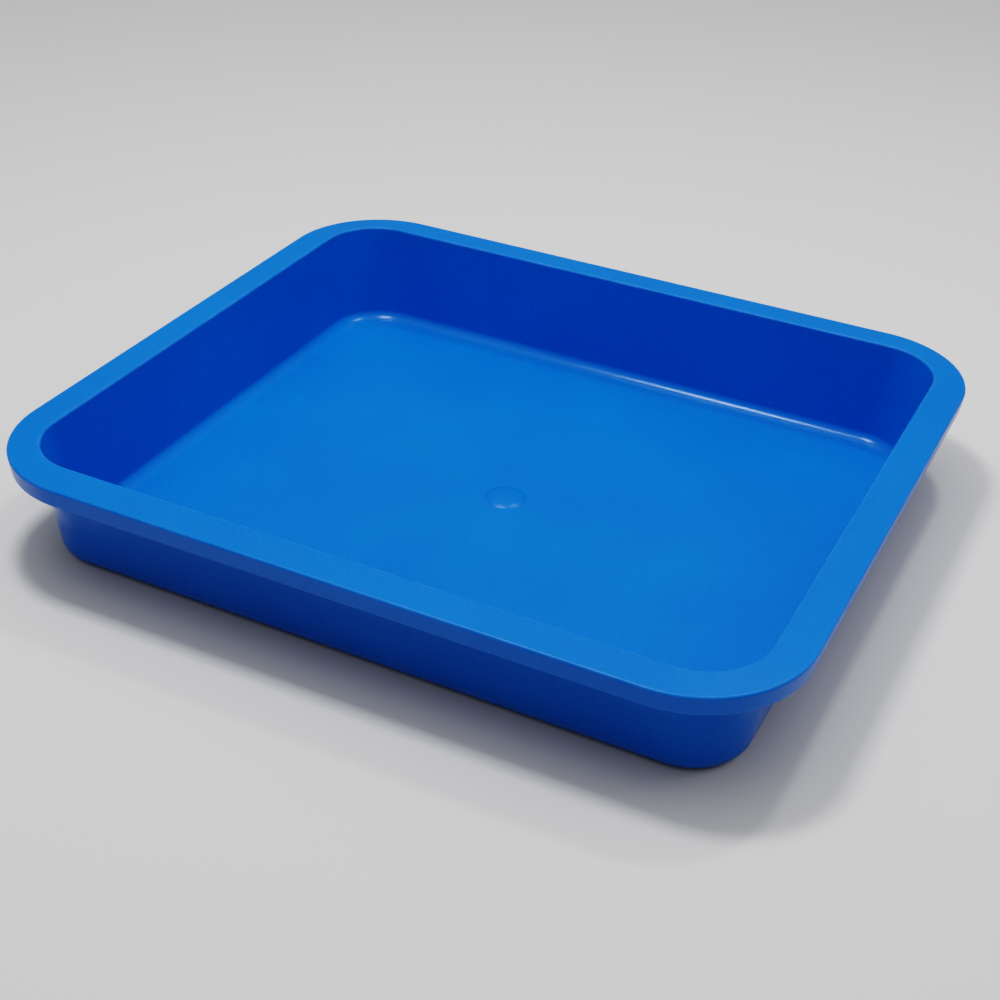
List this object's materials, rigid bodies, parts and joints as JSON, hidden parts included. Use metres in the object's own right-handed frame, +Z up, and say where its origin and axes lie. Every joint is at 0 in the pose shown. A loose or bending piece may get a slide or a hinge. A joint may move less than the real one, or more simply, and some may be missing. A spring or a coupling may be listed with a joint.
{
  "type": "mud pan",
  "caption": "Shallow rectangular plastic tray with rounded corners, drafted walls and a wide flat rim with a turned-down skirt, for holding joint compound or plaster.",
  "frame": {"origin": "centre of the base, on the surface that the pan stands on", "axes": "+X along the longer side of the rim, +Y along its shorter side, +Z up out of the open top"},
  "size_m": [0.3996, 0.3486, 0.0591],
  "materials": {
    "blue_plastic": "fine matte grain with a soft sheen, clean and almost new"
  },
  "bodies": {
    "root": {"pan": "blue_plastic"}
  },
  "joints": []
}
